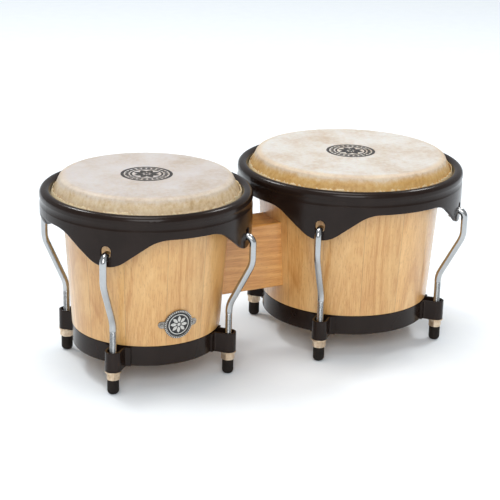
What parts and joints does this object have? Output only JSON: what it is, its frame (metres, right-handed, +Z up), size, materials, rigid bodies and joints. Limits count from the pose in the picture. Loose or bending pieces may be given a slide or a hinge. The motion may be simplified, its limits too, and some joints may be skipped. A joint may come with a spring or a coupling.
{
  "type": "bongo drums",
  "caption": "Pair of wooden hand drums of two sizes joined by a block, with rawhide heads, steel rims and hooked tuning rods that end in rubber feet.",
  "frame": {"origin": "on the floor under the middle of the whole object's bounding box, at the flat of the rubber feet", "axes": "+X from the small drum (macho) to the large drum (hembra), +Z up through the heads, -Y out of the front with the badge"},
  "size_m": [0.4206, 0.218, 0.182],
  "materials": {
    "shell_wood": "satin lacquer over pale hardwood, grain upright",
    "block_wood": "satin lacquer over hardwood, grain level",
    "rawhide": "translucent matte rawhide, tan at the collar",
    "black_coat": "satin dark charcoal powder coat on steel",
    "chrome_rod": "bright chrome plate",
    "plated_steel": "warm yellow-white zinc plate",
    "zinc_steel": "plain zinc plate",
    "brass": "turned",
    "badge_metal": "polished ring and motif on a black enamel field",
    "foot_rubber": "matte black"
  },
  "bodies": {
    "shells_and_block": {"macho_shell": "shell_wood", "macho_skin": "rawhide", "macho_bottom_band": "black_coat", "macho_rod_washers": "plated_steel", "macho_block_bolts": "zinc_steel", "macho_block_washers": "zinc_steel", "macho_threaded_inserts": "brass", "macho_receiver_front_left": "black_coat", "macho_receiver_front_right": "black_coat", "macho_receiver_back_right": "black_coat", "macho_receiver_back_left": "black_coat", "hembra_shell": "shell_wood", "hembra_skin": "rawhide", "hembra_bottom_band": "black_coat", "hembra_rod_washers": "plated_steel", "hembra_block_bolts": "zinc_steel", "hembra_block_washers": "zinc_steel", "hembra_threaded_inserts": "brass", "hembra_receiver_front_left": "black_coat", "hembra_receiver_front_right": "black_coat", "hembra_receiver_back_right": "black_coat", "hembra_receiver_back_left": "black_coat", "centre_block": "block_wood", "badge": "badge_metal", "badge_pins": "badge_metal"},
    "macho_tuning_set": {"macho_rim": "black_coat", "macho_flesh_hoop": "zinc_steel", "macho_tuning_rod_front_left": "chrome_rod", "macho_rubber_foot_front_left": "foot_rubber", "macho_tuning_rod_front_right": "chrome_rod", "macho_rubber_foot_front_right": "foot_rubber", "macho_tuning_rod_back_right": "chrome_rod", "macho_rubber_foot_back_right": "foot_rubber", "macho_tuning_rod_back_left": "chrome_rod", "macho_rubber_foot_back_left": "foot_rubber"},
    "macho_tuning_nut_front_left": {"macho_tuning_nut_front_left": "plated_steel"},
    "macho_tuning_nut_front_right": {"macho_tuning_nut_front_right": "plated_steel"},
    "macho_tuning_nut_back_right": {"macho_tuning_nut_back_right": "plated_steel"},
    "macho_tuning_nut_back_left": {"macho_tuning_nut_back_left": "plated_steel"},
    "hembra_tuning_set": {"hembra_rim": "black_coat", "hembra_flesh_hoop": "zinc_steel", "hembra_tuning_rod_front_left": "chrome_rod", "hembra_rubber_foot_front_left": "foot_rubber", "hembra_tuning_rod_front_right": "chrome_rod", "hembra_rubber_foot_front_right": "foot_rubber", "hembra_tuning_rod_back_right": "chrome_rod", "hembra_rubber_foot_back_right": "foot_rubber", "hembra_tuning_rod_back_left": "chrome_rod", "hembra_rubber_foot_back_left": "foot_rubber"},
    "hembra_tuning_nut_front_left": {"hembra_tuning_nut_front_left": "plated_steel"},
    "hembra_tuning_nut_front_right": {"hembra_tuning_nut_front_right": "plated_steel"},
    "hembra_tuning_nut_back_right": {"hembra_tuning_nut_back_right": "plated_steel"},
    "hembra_tuning_nut_back_left": {"hembra_tuning_nut_back_left": "plated_steel"}
  },
  "joints": [
    {"name": "macho_tuning", "type": "slide", "parent": "shells_and_block", "child": "macho_tuning_set", "axis": [0, 0, 1], "range_m": [-0.006, 0], "deforming": ["macho_skin"]},
    {"name": "macho_tuning_nut_front_left_turn", "type": "hinge", "parent": "shells_and_block", "child": "macho_tuning_nut_front_left", "pos_m": [-0.17081, -0.05706, 0.017], "axis": [0, 0, 1], "range_deg": [-1, 1702]},
    {"name": "macho_tuning_nut_front_right_turn", "type": "hinge", "parent": "shells_and_block", "child": "macho_tuning_nut_front_right", "pos_m": [-0.05669, -0.05706, 0.017], "axis": [0, 0, 1], "range_deg": [-1, 1702]},
    {"name": "macho_tuning_nut_back_right_turn", "type": "hinge", "parent": "shells_and_block", "child": "macho_tuning_nut_back_right", "pos_m": [-0.05669, 0.05706, 0.017], "axis": [0, 0, 1], "range_deg": [-1, 1702]},
    {"name": "macho_tuning_nut_back_left_turn", "type": "hinge", "parent": "shells_and_block", "child": "macho_tuning_nut_back_left", "pos_m": [-0.17081, 0.05706, 0.017], "axis": [0, 0, 1], "range_deg": [-1, 1702]},
    {"name": "hembra_tuning", "type": "slide", "parent": "shells_and_block", "child": "hembra_tuning_set", "axis": [0, 0, 1], "range_m": [-0.006, 0], "deforming": ["hembra_skin"]},
    {"name": "hembra_tuning_nut_front_left_turn", "type": "hinge", "parent": "shells_and_block", "child": "hembra_tuning_nut_front_left", "pos_m": [0.03535, -0.0659, 0.017], "axis": [0, 0, 1], "range_deg": [-1, 1702]},
    {"name": "hembra_tuning_nut_front_right_turn", "type": "hinge", "parent": "shells_and_block", "child": "hembra_tuning_nut_front_right", "pos_m": [0.16715, -0.0659, 0.017], "axis": [0, 0, 1], "range_deg": [-1, 1702]},
    {"name": "hembra_tuning_nut_back_right_turn", "type": "hinge", "parent": "shells_and_block", "child": "hembra_tuning_nut_back_right", "pos_m": [0.16715, 0.0659, 0.017], "axis": [0, 0, 1], "range_deg": [-1, 1702]},
    {"name": "hembra_tuning_nut_back_left_turn", "type": "hinge", "parent": "shells_and_block", "child": "hembra_tuning_nut_back_left", "pos_m": [0.03535, 0.0659, 0.017], "axis": [0, 0, 1], "range_deg": [-1, 1702]}
  ],
  "couplings": [
    {"joint": "macho_tuning_nut_front_left_turn", "follows": "macho_tuning", "rad_per_m": -4947.4},
    {"joint": "macho_tuning_nut_front_right_turn", "follows": "macho_tuning", "rad_per_m": -4947.4},
    {"joint": "macho_tuning_nut_back_right_turn", "follows": "macho_tuning", "rad_per_m": -4947.4},
    {"joint": "macho_tuning_nut_back_left_turn", "follows": "macho_tuning", "rad_per_m": -4947.4},
    {"joint": "hembra_tuning_nut_front_left_turn", "follows": "hembra_tuning", "rad_per_m": -4947.4},
    {"joint": "hembra_tuning_nut_front_right_turn", "follows": "hembra_tuning", "rad_per_m": -4947.4},
    {"joint": "hembra_tuning_nut_back_right_turn", "follows": "hembra_tuning", "rad_per_m": -4947.4},
    {"joint": "hembra_tuning_nut_back_left_turn", "follows": "hembra_tuning", "rad_per_m": -4947.4}
  ]
}
